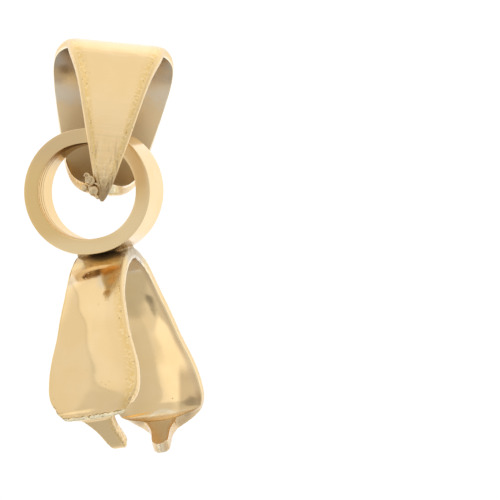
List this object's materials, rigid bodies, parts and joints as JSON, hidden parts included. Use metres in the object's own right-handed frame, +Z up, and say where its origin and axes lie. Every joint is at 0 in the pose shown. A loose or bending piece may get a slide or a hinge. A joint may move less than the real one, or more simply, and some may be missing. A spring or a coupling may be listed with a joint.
{
  "type": "bail finding",
  "caption": "Jewellery bail: tapered strip loop carrying a ring welded to a two-leaf pinch, whose inward prongs grip a drilled pendant or stone.",
  "frame": {"origin": "inside of the strip loop at its highest point, where a chain or cord bears", "axes": "+X to the wearer's left as seen from the front, front of the object towards -Y, +Z up; the ring's axis lies along Y"},
  "size_m": [0.008, 0.0138, 0.0232],
  "materials": {
    "loop_gold": "polished gold-tone plating on stainless steel, with fine scratches",
    "pinch_gold": "polished gold-tone plating on stainless steel, satin on the ring's turned faces"
  },
  "bodies": {
    "loop": {"strip_loop": "loop_gold"},
    "drop": {"ring_and_pinch": "pinch_gold"}
  },
  "joints": [
    {"name": "drop_swing", "type": "hinge", "parent": "loop", "child": "drop", "pos_m": [-0.0011, 0.00008, -0.00538], "axis": [1, 0, 0], "range_deg": [-20, 45]}
  ]
}
